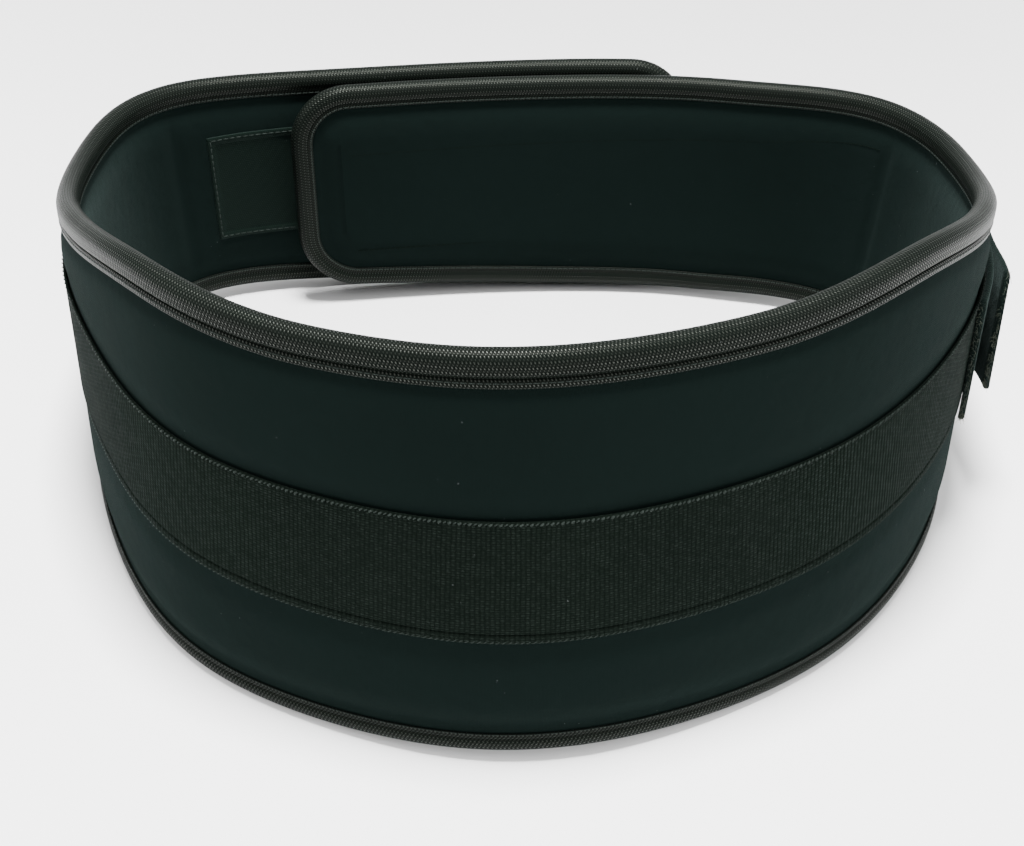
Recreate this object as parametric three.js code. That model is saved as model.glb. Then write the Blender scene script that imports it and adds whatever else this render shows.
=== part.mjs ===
// A padded weightlifting belt, closed by its hook-and-loop strap and standing on its lower edge.
// Millimetres, +Z up, the floor at z = 0 and the wide lumbar part of the belt towards -Y.
import * as THREE from 'three';

// Driving sizes of the belt
const WRAP_LENGTH = 1025;
const INNER_END = 610;
const OUTER_END = -593;
const END_CORNER_RADIUS = 26;
const INNER_END_RISE = 9;
const INNER_END_TAPER = 190;
const WALL_HALF = 3.9;
const LAYER_STEP = 14.4;
const CLEARANCE = 0.35;

// Driving sizes of the binding, the webbing, the strap and the buckle
const BINDING_WIDTH = 12;
const BINDING_CLOTH = 1;
const BEAD_RADIUS = 4.2;
const GROOVE_INSET = 6.7;
const GROOVE_DEPTH = 0.4;
const FLANGE_RISE = 0.1;
const WEBBING_WIDTH = 48;
const WEBBING_THICK = 1.3;
const WEBBING_MARGIN = 22;
const STRAP_WIDTH = 52;
const STRAP_THICK = 2.4;
const STRAP_START = 206;
const STRAP_TAIL_END = 228;
const STRAP_TAIL_PEEL = 34;
const STRAP_TAIL_LIFT = 3.5;
const STRAP_TAIL_CURL = 1.5;
const STRAP_FALL = 36;
const STRAP_BAR_PLAY = 0.6;
const RING_WIRE = 3.6;
const RING_INSIDE = 56;
const RING_REACH = 20;
const RING_PLACE = -437;
const KEEPER_WIDTH = 44;
const KEEPER_CLOTH = 1.3;
const KEEPER_INSET = 4;
const PATCH_SIDE = 50;
const PATCH_PLACE = -403;
const PATCH_CLOTH = 0.8;
const PATCH_RIM_WIDTH = 3;
const PATCH_RIM_RISE = 0.6;
const PATCH_RIM_SLOPE = 0.2;
const PANEL_RAMP = 8;

// Shape of the loop, seen from above: places along the wall in turn, going right from the front.
// Its size comes from WRAP_LENGTH, to which the curve through them is scaled.
const PLAN = [
  { place: 'front middle', x: 13.5, y: -148 },
  { place: 'front right', x: 73.5, y: -126.5 },
  { place: 'front right turn', x: 121, y: -93 },
  { place: 'right front turn', x: 155.5, y: -43 },
  { place: 'right side', x: 170.5, y: 14.5 },
  { place: 'right rear turn', x: 165, y: 76 },
  { place: 'rear right turn', x: 133, y: 123 },
  { place: 'rear right', x: 75.5, y: 141.5 },
  { place: 'rear middle right', x: 15.5, y: 142.5 },
  { place: 'rear middle', x: -44, y: 134.5 },
  { place: 'rear middle left', x: -104, y: 121 },
  { place: 'rear left turn', x: -155.5, y: 98.5 },
  { place: 'left side rear', x: -172.5, y: 44 },
  { place: 'left side', x: -164, y: -19 },
  { place: 'left front turn', x: -140, y: -72 },
  { place: 'front left turn', x: -102.5, y: -116.5 },
  { place: 'front left', x: -49, y: -141 },
];

// Heights above the floor by the distance along the wall from the front middle, the same both ways
const HEIGHTS = [
  { along: 0, bottom: 2.9, top: 157.8, webbing: 75 },
  { along: 80, bottom: 0.2, top: 155.5, webbing: 74 },
  { along: 150, bottom: -0.4, top: 155.6, webbing: 75.8 },
  { along: 210, bottom: -0.4, top: 139.4, webbing: 77 },
  { along: 260, bottom: 5.8, top: 122.4, webbing: 72 },
  { along: 300, bottom: 6.6, top: 113.1, webbing: 69.5 },
  { along: 340, bottom: 3.9, top: 108.9, webbing: 65.5 },
  { along: 400, bottom: 3.5, top: 104.6, webbing: 56 },
  { along: 500, bottom: -0.4, top: 101.9, webbing: 50 },
  { along: 640, bottom: 0, top: 103.5, webbing: 49.5 },
];

// The wall leans towards the rear: its middle plane is met at this height
const LEAN_HEIGHT = 68;
const LEAN_SLOPE = 0.147;
const LOOP_CENTRE = new THREE.Vector2(14, -3.6);

// The inner end steps in behind the outer one between these places along the wall
const STEP_START = 297;
const STEP_END = 415;

// How finely the wall and its curves are cut into flat facets
const WALL_NODES = 74;
const CORNER_STEPS = 6;
const TURN_STEPS = 8;
const PLAN_SAMPLES = 1480;
const TANGENT_REACH = 1;

const BLACK_CLOTH = { color: 0x1a2220, roughness: 0.9, metalness: 0 };
const BLACK_WEBBING = { color: 0x1d2523, roughness: 0.85, metalness: 0 };
const GREY_BINDING = { color: 0x2a2f2d, roughness: 0.8, metalness: 0 };
const OLIVE_STRAP = { color: 0x262c28, roughness: 0.95, metalness: 0 };
const RING_STEEL = { color: 0x8b8f90, roughness: 0.35, metalness: 1 };

// Smooth closed curve through the plan's places: every place weighs in by the Dirichlet kernel
function planPoint(along) {
  const count = PLAN.length;
  const turn = (2 * Math.PI * along) / WRAP_LENGTH;
  const point = new THREE.Vector2();
  PLAN.forEach((row, index) => {
    const away = (turn - (2 * Math.PI * index) / count) / 2;
    const spread = Math.sin(away);
    const weight = Math.abs(spread) < 1e-9 ? 1 : Math.sin(count * away) / (count * spread);
    point.x += weight * row.x;
    point.y += weight * row.y;
  });
  return point;
}

// The places along the curve are made even: a table of the true length at each sample
function lengthTable() {
  const table = [{ along: 0, length: 0 }];
  let before = planPoint(0);
  for (let step = 1; step <= PLAN_SAMPLES; step += 1) {
    const along = (WRAP_LENGTH * step) / PLAN_SAMPLES;
    const point = planPoint(along);
    table.push({ along, length: table[step - 1].length + point.distanceTo(before) });
    before = point;
  }
  return table;
}

const LENGTHS = lengthTable();
const CURVE_LENGTH = LENGTHS[PLAN_SAMPLES].length;
const PLAN_SCALE = WRAP_LENGTH / CURVE_LENGTH;

function evenPlanPoint(along) {
  const share = along / WRAP_LENGTH;
  const wanted = (share - Math.floor(share)) * CURVE_LENGTH;
  let low = 0;
  let high = PLAN_SAMPLES;
  while (high - low > 1) {
    const middle = (low + high) >> 1;
    if (LENGTHS[middle].length > wanted) high = middle;
    else low = middle;
  }
  const span = LENGTHS[high].length - LENGTHS[low].length;
  const part = (wanted - LENGTHS[low].length) / span;
  const place = THREE.MathUtils.lerp(LENGTHS[low].along, LENGTHS[high].along, part);
  return planPoint(place).multiplyScalar(PLAN_SCALE);
}

// A height column of the table, read with a smooth cubic between its rows
function heightAt(column, along) {
  const far = Math.min(Math.abs(along), HEIGHTS[HEIGHTS.length - 1].along - 0.01);
  const next = HEIGHTS.findIndex((row) => row.along > far);
  const slopeAt = (index) => {
    if (index === 0 || index === HEIGHTS.length - 1) return 0;
    const rise = HEIGHTS[index + 1][column] - HEIGHTS[index - 1][column];
    return rise / (HEIGHTS[index + 1].along - HEIGHTS[index - 1].along);
  };
  const from = HEIGHTS[next - 1];
  const to = HEIGHTS[next];
  const span = to.along - from.along;
  const part = (far - from.along) / span;
  const left = (1 + 2 * part) * (1 - part) ** 2 * from[column];
  const leftSlope = part * (1 - part) ** 2 * span * slopeAt(next - 1);
  const right = part ** 2 * (3 - 2 * part) * to[column];
  const rightSlope = part ** 2 * (part - 1) * span * slopeAt(next);
  return left + leftSlope + right + rightSlope;
}

const webbingHeight = (along) => heightAt('webbing', along);

const topHeight = (along) => heightAt('top', along);

// The inner end is cut a little narrower: its lower edge rises towards the tip and stays off the floor
function bottomHeight(along) {
  const share = THREE.MathUtils.clamp(1 - (INNER_END - along) / INNER_END_TAPER, 0, 1);
  return heightAt('bottom', along) + INNER_END_RISE * share;
}
const WEBBING_NEAR = WALL_HALF + CLEARANCE;
const WEBBING_FAR = WEBBING_NEAR + WEBBING_THICK;

// One upright of the wall: where it stands, which way is out, and how far it leans
function wallFrame(along, inStep) {
  const before = evenPlanPoint(along - TANGENT_REACH);
  const after = evenPlanPoint(along + TANGENT_REACH);
  const tangent = after.sub(before).normalize();
  const out = new THREE.Vector2(tangent.y, -tangent.x);
  const foot = evenPlanPoint(along);
  const around = Math.atan2(foot.x - LOOP_CENTRE.x, LOOP_CENTRE.y - foot.y);
  const lean = -LEAN_SLOPE * Math.cos(around);
  const step = inStep ? -LAYER_STEP * THREE.MathUtils.smoothstep(along, STEP_START, STEP_END) : 0;
  return { foot: foot.addScaledVector(out, step), out, lean };
}

function framePoint(frame, height, offset) {
  const slant = frame.lean * (height - LEAN_HEIGHT);
  const tilt = Math.hypot(1, frame.lean);
  const sideways = slant + offset / tilt;
  const x = frame.foot.x + frame.out.x * sideways;
  const y = frame.foot.y + frame.out.y * sideways;
  return new THREE.Vector3(x, y, height - (offset * frame.lean) / tilt);
}

// The faceted wall: uprights at even places, flat facets between them, shared by all the pieces
const NODE_SPACING = WRAP_LENGTH / WALL_NODES;
const frameStore = new Map();

function storedFrame(index, inStep) {
  const key = `${index} ${inStep}`;
  if (!frameStore.has(key)) frameStore.set(key, wallFrame(index * NODE_SPACING, inStep));
  return frameStore.get(key);
}

function wallPoint(along, height, offset, inStep = true) {
  const place = along / NODE_SPACING;
  const index = Math.floor(place + 1e-9);
  const near = framePoint(storedFrame(index, inStep), height, offset);
  const far = framePoint(storedFrame(index + 1, inStep), height, offset);
  return near.lerp(far, place - index);
}

// Places from one end to the other, with every upright of the wall in between
function placesBetween(from, to) {
  const places = [from];
  const least = NODE_SPACING / 4;
  const low = Math.min(from, to);
  const high = Math.max(from, to);
  const first = Math.ceil(low / NODE_SPACING);
  const last = Math.floor(high / NODE_SPACING);
  const uprights = [];
  for (let index = first; index <= last; index += 1) {
    const along = index * NODE_SPACING;
    if (along > low + least && along < high - least) uprights.push(along);
  }
  if (from > to) uprights.reverse();
  return places.concat(uprights, [to]);
}

// A four-cornered facet split along the diagonal that starts at its lower corner, so that
// pieces lying on each other split the same way; a and b stand in one ring, d and c in the next
function splitFacet(faces, positions, a, b, c, d) {
  const heightOf = (index) => positions[3 * index + 2];
  if (heightOf(a) <= heightOf(b)) faces.push(a, b, c, a, c, d);
  else faces.push(a, b, d, b, c, d);
}

// Closed solid from rings of points: each ring is joined to the next and the two ends are capped
function solidFromRings(rings, closed) {
  const size = rings[0].length;
  const positions = [];
  rings.forEach((ring) => ring.forEach((point) => positions.push(point.x, point.y, point.z)));
  const faces = [];
  const joins = closed ? rings.length : rings.length - 1;
  for (let row = 0; row < joins; row += 1) {
    const next = (row + 1) % rings.length;
    for (let corner = 0; corner < size; corner += 1) {
      const other = (corner + 1) % size;
      const a = row * size + corner;
      const b = row * size + other;
      splitFacet(faces, positions, a, b, next * size + other, next * size + corner);
    }
  }
  if (!closed) {
    const lastRow = (rings.length - 1) * size;
    for (let corner = 1; corner < size - 1; corner += 1) {
      faces.push(0, corner + 1, corner);
      faces.push(lastRow, lastRow + corner, lastRow + corner + 1);
    }
  }
  return turnedOutward(positions, faces);
}

// Triangles face outward when the volume they enclose is positive
function turnedOutward(positions, faces) {
  const corner = (index) => new THREE.Vector3().fromArray(positions, 3 * index);
  let volume = 0;
  for (let face = 0; face < faces.length; face += 3) {
    const a = corner(faces[face]);
    volume += a.dot(corner(faces[face + 1]).cross(corner(faces[face + 2])));
  }
  const ordered = volume > 0 ? faces : faces.slice().reverse();
  const geometry = new THREE.BufferGeometry();
  geometry.setAttribute('position', new THREE.Float32BufferAttribute(positions, 3));
  geometry.setIndex(ordered);
  geometry.computeVertexNormals();
  return geometry;
}

function namedMesh(name, geometry, look) {
  const mesh = new THREE.Mesh(geometry, new THREE.MeshStandardMaterial(look));
  mesh.name = name;
  return mesh;
}

// Outline of the flat belt: upper and lower points at the same places, ends rounded at the corners
function outlinePoints() {
  const rows = [];
  const cornerRow = (end, inward, angle) => {
    const along = end + inward * END_CORNER_RADIUS * (1 - Math.cos(angle));
    const drop = END_CORNER_RADIUS * (1 - Math.sin(angle));
    const leanIn = inward * Math.cos(angle);
    rows.push({ along, drop, leanIn, rise: Math.sin(angle) });
  };
  for (let step = 0; step <= CORNER_STEPS; step += 1) {
    cornerRow(OUTER_END, 1, (step / CORNER_STEPS) * (Math.PI / 2));
  }
  const straight = placesBetween(OUTER_END + END_CORNER_RADIUS, INNER_END - END_CORNER_RADIUS);
  straight.slice(1, -1).forEach((along) => rows.push({ along, drop: 0, leanIn: 0, rise: 1 }));
  for (let step = CORNER_STEPS; step >= 0; step -= 1) {
    cornerRow(INNER_END, -1, (step / CORNER_STEPS) * (Math.PI / 2));
  }
  return rows;
}

const OUTLINE = outlinePoints();

// A point set in from the belt's edge by a distance, and out from the wall's middle by an offset
function edgePoint(row, upper, inset, offset) {
  const along = row.along + row.leanIn * inset;
  const fall = row.drop + row.rise * inset;
  const top = topHeight(row.along) - fall;
  const bottom = bottomHeight(row.along) + fall;
  return wallPoint(along, upper ? top : bottom, offset);
}

// The padded panel: foam between two faces of cloth, thin under the binding and full between.
// Its outer face has a row of points under each edge of the webbing.
function paddedPanel() {
  const slimBy = CLEARANCE + BINDING_CLOTH;
  const steps = [
    { inset: slimBy + FLANGE_RISE, half: 0 },
    { inset: BEAD_RADIUS, half: BEAD_RADIUS - slimBy },
    { inset: BINDING_WIDTH + CLEARANCE, half: BEAD_RADIUS - slimBy + FLANGE_RISE },
    { inset: BINDING_WIDTH + PANEL_RAMP, half: WALL_HALF },
  ];
  const deep = steps[steps.length - 1];
  const rings = OUTLINE.map((row) => {
    const upward = steps.map((step) => edgePoint(row, false, step.inset, step.half));
    const along = row.along + row.leanIn * deep.inset;
    [-WEBBING_WIDTH / 2, WEBBING_WIDTH / 2].forEach((height) => {
      upward.push(wallPoint(along, webbingHeight(along) + height, deep.half));
    });
    steps.slice().reverse().forEach((step) => upward.push(edgePoint(row, true, step.inset, step.half)));
    const downward = steps.slice(1).map((step) => edgePoint(row, true, step.inset, -step.half));
    const lower = steps.slice(1).map((step) => edgePoint(row, false, step.inset, -step.half));
    return upward.concat(downward, lower.reverse());
  });
  return namedMesh('padded_panel', panelFromRings(rings, steps.length), BLACK_CLOTH);
}

// The panel's end rings lie in the wall itself, so each end is closed by bands from edge to edge
function panelFromRings(rings, stepCount) {
  const size = rings[0].length;
  const positions = [];
  rings.forEach((ring) => ring.forEach((point) => positions.push(point.x, point.y, point.z)));
  const faces = [];
  for (let row = 0; row < rings.length - 1; row += 1) {
    for (let corner = 0; corner < size; corner += 1) {
      const a = row * size + corner;
      const b = row * size + ((corner + 1) % size);
      splitFacet(faces, positions, a, b, b + size, a + size);
    }
  }
  const highest = 2 * stepCount + 1;
  const upperOut = (step) => highest - step;
  const upperIn = (step) => highest + step;
  const lowerIn = (step) => (size - step) % size;
  const fan = (start, corners, flip) => {
    for (let corner = 1; corner < corners.length - 1; corner += 1) {
      const [p, q, r] = [corners[0], corners[corner], corners[corner + 1]].map((index) => start + index);
      if (flip) faces.push(p, r, q);
      else faces.push(p, q, r);
    }
  };
  const deep = stepCount - 1;
  [[0, false], [(rings.length - 1) * size, true]].forEach(([start, flip]) => {
    for (let step = 0; step < deep; step += 1) {
      const outerFar = [upperOut(step + 1), step + 1];
      if (step + 1 === deep) outerFar.splice(1, 0, deep + 2, deep + 1);
      fan(start, [step, upperOut(step), ...outerFar], flip);
      fan(start, [upperIn(step), lowerIn(step), lowerIn(step + 1), upperIn(step + 1)], flip);
    }
  });
  return turnedOutward(positions, faces);
}

// A point of the bead's round front, by its angle up from the belt's edge
function beadPoint(angle) {
  return { inset: BEAD_RADIUS * (1 - Math.cos(angle)), offset: BEAD_RADIUS * Math.sin(angle) };
}

// The binding: a folded tape round the whole edge, a round bead with a flat flange on both faces
function edgeBinding() {
  const inner = BEAD_RADIUS - BINDING_CLOTH;
  const half = [
    { inset: BINDING_WIDTH, offset: BEAD_RADIUS + FLANGE_RISE },
    { inset: GROOVE_INSET, offset: BEAD_RADIUS - GROOVE_DEPTH },
    { inset: BEAD_RADIUS, offset: BEAD_RADIUS },
    beadPoint(Math.PI / 4),
    beadPoint(Math.PI / 12),
  ];
  const lining = [
    { inset: BINDING_WIDTH, offset: inner },
    { inset: BEAD_RADIUS, offset: inner },
    { inset: BINDING_CLOTH, offset: 0 },
  ];
  const mirrored = (point) => ({ inset: point.inset, offset: -point.offset });
  const section = half.concat(half.slice().reverse().map(mirrored));
  section.push(mirrored(lining[0]), mirrored(lining[1]), lining[2], lining[1], lining[0]);
  const ringAt = (row, upper) => section.map((point) => {
    const made = edgePoint(row, upper, point.inset, point.offset);
    made.z = Math.max(made.z, 0);
    return made;
  });
  const upperRings = OUTLINE.map((row) => ringAt(row, true));
  const lowerRings = OUTLINE.map((row) => ringAt(row, false)).reverse();
  return namedMesh('edge_binding', solidFromRings(upperRings.concat(lowerRings), true), GREY_BINDING);
}

// A flat strip on the wall: places along it, its middle height, its width and its two faces
function stripOnWall(places, middleAt, width, near, far, inStep) {
  const rings = places.map((along) => {
    const middle = middleAt(along);
    return [
      wallPoint(along, middle - width / 2, near, inStep),
      wallPoint(along, middle - width / 2, far, inStep),
      wallPoint(along, middle + width / 2, far, inStep),
      wallPoint(along, middle + width / 2, near, inStep),
    ];
  });
  return solidFromRings(rings, false);
}

// The woven webbing band along the middle of the outer face, from one end to the other
function webbingBand() {
  const places = placesBetween(OUTER_END + WEBBING_MARGIN, INNER_END - WEBBING_MARGIN);
  const geometry = stripOnWall(places, webbingHeight, WEBBING_WIDTH, WEBBING_NEAR, WEBBING_FAR, true);
  return namedMesh('webbing_band', geometry, BLACK_WEBBING);
}

// The keeper: doubled webbing stitched to the band, with an eye that holds the ring's bar
const KEEPER_NEAR = WEBBING_FAR + CLEARANCE;
const KEEPER_TOP = KEEPER_NEAR + 2 * KEEPER_CLOTH;
const EYE_HOLE = RING_WIRE / 2 + CLEARANCE;
const EYE_OUTSIDE = EYE_HOLE + KEEPER_CLOTH;
const RING_OFFSET = KEEPER_NEAR + EYE_OUTSIDE;
const EYE_GAP = Math.PI / 12;

function ringKeeper() {
  const tabEnd = PATCH_PLACE + PATCH_SIDE / 2 - KEEPER_INSET;
  const tabStart = RING_PLACE + EYE_OUTSIDE;
  const outline = new THREE.Shape();
  placesBetween(tabEnd, tabStart).forEach((along, index) => {
    if (index === 0) outline.moveTo(along, KEEPER_NEAR);
    else outline.lineTo(along, KEEPER_NEAR);
  });
  const eyeFrom = -Math.PI / 2;
  const eyeTo = -2 * Math.PI + Math.asin((KEEPER_TOP - RING_OFFSET) / EYE_OUTSIDE) + EYE_GAP;
  for (let step = 0; step <= 2 * TURN_STEPS; step += 1) {
    const angle = THREE.MathUtils.lerp(eyeFrom, eyeTo, step / (2 * TURN_STEPS));
    outline.lineTo(RING_PLACE + EYE_OUTSIDE * Math.cos(angle), RING_OFFSET + EYE_OUTSIDE * Math.sin(angle));
  }
  placesBetween(tabStart + KEEPER_CLOTH, tabEnd).forEach((along) => outline.lineTo(along, KEEPER_TOP));
  const eye = new THREE.Path();
  eye.absarc(RING_PLACE, RING_OFFSET, EYE_HOLE, 0, 2 * Math.PI, false);
  outline.holes.push(eye);
  const settings = { depth: KEEPER_WIDTH, bevelEnabled: false, curveSegments: TURN_STEPS };
  const geometry = new THREE.ExtrudeGeometry(outline, settings);
  const middle = webbingHeight(RING_PLACE) - KEEPER_WIDTH / 2;
  const corners = geometry.getAttribute('position');
  for (let index = 0; index < corners.count; index += 1) {
    const height = middle + corners.getZ(index);
    const placed = wallPoint(corners.getX(index), height, corners.getY(index));
    corners.setXYZ(index, placed.x, placed.y, placed.z);
  }
  return namedMesh('ring_keeper', facingOut(geometry), BLACK_WEBBING);
}

// The wall's own directions can turn an extruded outline inside out, so its volume decides
function facingOut(geometry) {
  const corners = geometry.getAttribute('position');
  const positions = Array.from(corners.array);
  const faces = Array.from({ length: corners.count }, (_, index) => index);
  return turnedOutward(positions, faces);
}

// The strap's heights over the wall: lower run on the webbing, upper run on the lower one
const STRAP_NEAR = WEBBING_FAR + CLEARANCE;
const STRAP_FAR = STRAP_NEAR + STRAP_THICK;
const STRAP_BAR_OFFSET = STRAP_FAR + STRAP_BAR_PLAY + RING_WIRE / 2;
const STRAP_BAR_PLACE = WRAP_LENGTH + RING_PLACE - RING_REACH;

function strapHeight(along) {
  return webbingHeight(Math.min(along, WRAP_LENGTH - along));
}

// How far the upper run's inner face stands from the wall's middle, from the ring to the free tail
function upperRunNear(along) {
  const resting = STRAP_FAR + CLEARANCE;
  const atRing = STRAP_BAR_OFFSET + RING_WIRE / 2 + STRAP_BAR_PLAY;
  const nearRing = THREE.MathUtils.smoothstep(along, STRAP_BAR_PLACE - STRAP_FALL, STRAP_BAR_PLACE);
  const nearEnd = 1 - (along - STRAP_TAIL_END) / STRAP_TAIL_PEEL;
  const peel = Math.max(nearEnd, 0) ** STRAP_TAIL_CURL;
  return resting + nearRing * (atRing - resting) + peel * STRAP_TAIL_LIFT;
}

// The closing strap: sewn on at the right side, round the rear to the ring, and back on itself
function closingStrap() {
  const path = [];
  placesBetween(STRAP_START, STRAP_BAR_PLACE).forEach((along) => {
    path.push({ along, outer: STRAP_NEAR, innerAlong: along, inner: STRAP_FAR });
  });
  const bend = RING_WIRE / 2 + STRAP_BAR_PLAY;
  for (let step = 1; step < TURN_STEPS; step += 1) {
    const angle = -Math.PI / 2 + (Math.PI * step) / TURN_STEPS;
    path.push({
      along: STRAP_BAR_PLACE + (bend + STRAP_THICK) * Math.cos(angle),
      outer: STRAP_BAR_OFFSET + (bend + STRAP_THICK) * Math.sin(angle),
      innerAlong: STRAP_BAR_PLACE + bend * Math.cos(angle),
      inner: STRAP_BAR_OFFSET + bend * Math.sin(angle),
    });
  }
  const peelPlaces = placesBetween(STRAP_TAIL_END + STRAP_TAIL_PEEL, STRAP_TAIL_END);
  placesBetween(STRAP_BAR_PLACE, STRAP_TAIL_END + STRAP_TAIL_PEEL)
    .concat(peelPlaces.slice(1))
    .forEach((along) => {
      const inner = upperRunNear(along);
      path.push({ along, outer: inner + STRAP_THICK, innerAlong: along, inner });
    });
  const rings = path.map((row) => {
    const low = strapHeight(row.along) - STRAP_WIDTH / 2;
    const high = low + STRAP_WIDTH;
    return [
      wallPoint(row.innerAlong, low, row.inner, false),
      wallPoint(row.along, low, row.outer, false),
      wallPoint(row.along, high, row.outer, false),
      wallPoint(row.innerAlong, high, row.inner, false),
    ];
  });
  return namedMesh('closing_strap', solidFromRings(rings, false), OLIVE_STRAP);
}

// The ring: one closed rectangle of wire, its corners rounded, held by the keeper's eye
function buckleRing() {
  const high = RING_INSIDE / 2 + RING_WIRE / 2;
  const middle = webbingHeight(RING_PLACE);
  const strapPlace = RING_PLACE - RING_REACH;
  const corners = [
    wallPoint(RING_PLACE, middle + high, RING_OFFSET),
    wallPoint(strapPlace, middle + high, STRAP_BAR_OFFSET),
    wallPoint(strapPlace, middle - high, STRAP_BAR_OFFSET),
    wallPoint(RING_PLACE, middle - high, RING_OFFSET),
  ];
  const path = [];
  corners.forEach((corner, index) => {
    const before = corners[(index + 3) % 4];
    const after = corners[(index + 1) % 4];
    const start = corner.clone().add(before.clone().sub(corner).setLength(RING_WIRE));
    const end = corner.clone().add(after.clone().sub(corner).setLength(RING_WIRE));
    const bend = new THREE.QuadraticBezierCurve3(start, corner, end);
    path.push(...bend.getPoints(CORNER_STEPS / 2));
  });
  const across = corners[1].clone().sub(corners[0]);
  const face = across.cross(corners[3].clone().sub(corners[0])).normalize();
  const rings = path.map((point, index) => {
    const before = path[(index + path.length - 1) % path.length];
    const after = path[(index + 1) % path.length];
    const side = after.clone().sub(before).normalize().cross(face).normalize();
    return Array.from({ length: TURN_STEPS }, (_, step) => {
      const angle = (2 * Math.PI * step) / TURN_STEPS;
      const reach = RING_WIRE / 2;
      const placed = point.clone().addScaledVector(side, reach * Math.cos(angle));
      return placed.addScaledVector(face, reach * Math.sin(angle));
    });
  });
  return namedMesh('buckle_ring', solidFromRings(rings, true), RING_STEEL);
}

// The square patch on the inner face: a flat field with a raised stitched border
function innerPatch() {
  const near = -(WALL_HALF + CLEARANCE);
  const field = near - PATCH_CLOTH;
  const rim = field - PATCH_RIM_RISE;
  const half = PATCH_SIDE / 2;
  const open = half - PATCH_RIM_WIDTH;
  const from = PATCH_PLACE - half;
  const to = PATCH_PLACE + half;
  const middle = webbingHeight(PATCH_PLACE);
  const ringAt = (along, inside) => {
    const rows = [
      [-half, near], [-half, rim], [-open, rim], [-open + PATCH_RIM_SLOPE, inside],
      [open - PATCH_RIM_SLOPE, inside], [open, rim], [half, rim], [half, near],
    ];
    return rows.map(([height, offset]) => wallPoint(along, middle + height, offset));
  };
  const rings = [ringAt(from, rim), ringAt(from + PATCH_RIM_WIDTH, rim)];
  placesBetween(from + PATCH_RIM_WIDTH + PATCH_RIM_SLOPE, to - PATCH_RIM_WIDTH - PATCH_RIM_SLOPE)
    .forEach((along) => rings.push(ringAt(along, field)));
  rings.push(ringAt(to - PATCH_RIM_WIDTH, rim), ringAt(to, rim));
  return namedMesh('inner_patch', solidFromRings(rings, false), BLACK_CLOTH);
}

const group = new THREE.Group();
group.name = 'weightlifting_belt';
group.add(paddedPanel());
group.add(edgeBinding());
group.add(webbingBand());
group.add(ringKeeper());
group.add(buckleRing());
group.add(closingStrap());
group.add(innerPatch());

// The box round the whole belt is centred on the origin, and its underside stays on the floor
const middle = new THREE.Box3().setFromObject(group).getCenter(new THREE.Vector3());
group.children.forEach((piece) => piece.geometry.translate(-middle.x, -middle.y, 0));

export default group;
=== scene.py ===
# %% [markdown]
# A padded weightlifting belt, stood on its lower edge with its ends lapped at the rear.
# The whole belt is cut and sewn flat, like the real one, and then bent round the loop by one
# function. This first cell loads the CAD model, which fixes every size, and keeps its mesh parts.

# %% Load the frame
import math
import bpy
import numpy as np
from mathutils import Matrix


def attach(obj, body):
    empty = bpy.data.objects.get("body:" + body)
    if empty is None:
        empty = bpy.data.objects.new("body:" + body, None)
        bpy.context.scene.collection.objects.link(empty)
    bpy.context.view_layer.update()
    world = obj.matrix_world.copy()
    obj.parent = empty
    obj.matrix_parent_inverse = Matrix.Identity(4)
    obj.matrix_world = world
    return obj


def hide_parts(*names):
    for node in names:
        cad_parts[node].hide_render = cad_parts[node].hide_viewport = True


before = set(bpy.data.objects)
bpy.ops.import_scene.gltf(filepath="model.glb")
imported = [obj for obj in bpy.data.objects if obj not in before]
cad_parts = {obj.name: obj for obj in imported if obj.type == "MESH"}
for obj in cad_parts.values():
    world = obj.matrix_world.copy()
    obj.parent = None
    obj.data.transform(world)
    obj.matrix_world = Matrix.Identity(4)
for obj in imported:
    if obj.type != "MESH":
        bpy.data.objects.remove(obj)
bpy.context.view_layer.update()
bpy.ops.object.select_all(action="DESELECT")
MM = 0.001

# %% [markdown]
# The photograph was taken from in front and above, about 40 degrees down. Its lens and place come
# from fitting the belt's edges in the picture. A camera is set up first, because all the later
# judgements about colour and shape are made through it.

# %% Camera
camera_data = bpy.data.cameras.new("photo_camera")
camera = bpy.data.objects.new("photo_camera", camera_data)
bpy.context.scene.collection.objects.link(camera)
bpy.context.scene.camera = camera
IMAGE_WIDTH = 1024
FOCAL_PIXELS = 1769.8
CAMERA_PLACE = (22.0 * MM, -550.5 * MM, 477.6 * MM)
CAMERA_PITCH = 0.695
CAMERA_YAW = -0.0485
CAMERA_ROLL = 0.0105
SENSOR_WIDTH = 36.0
SHIFT_PIXELS = 1.8
camera_data.sensor_width = SENSOR_WIDTH
camera_data.lens = FOCAL_PIXELS / IMAGE_WIDTH * SENSOR_WIDTH
camera_data.shift_x = SHIFT_PIXELS / IMAGE_WIDTH
camera_data.clip_start = 0.05
camera_data.clip_end = 20
camera.location = CAMERA_PLACE
camera.rotation_mode = "XYZ"
camera.rotation_euler = (math.pi / 2 - CAMERA_PITCH, 0, -CAMERA_YAW)
camera.rotation_euler.rotate_axis("Z", CAMERA_ROLL)
print("camera lens", round(camera_data.lens, 1), "mm")

# %% [markdown]
# The wall of the belt follows a closed curve through seventeen places, seen from above, and leans
# a little towards the rear. Its two long edges rise and fall along its length. With these two
# tables any point of the flat belt, given as its place along, its height and how far it stands
# out from the wall's middle, is sent to its place in the room.

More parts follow.
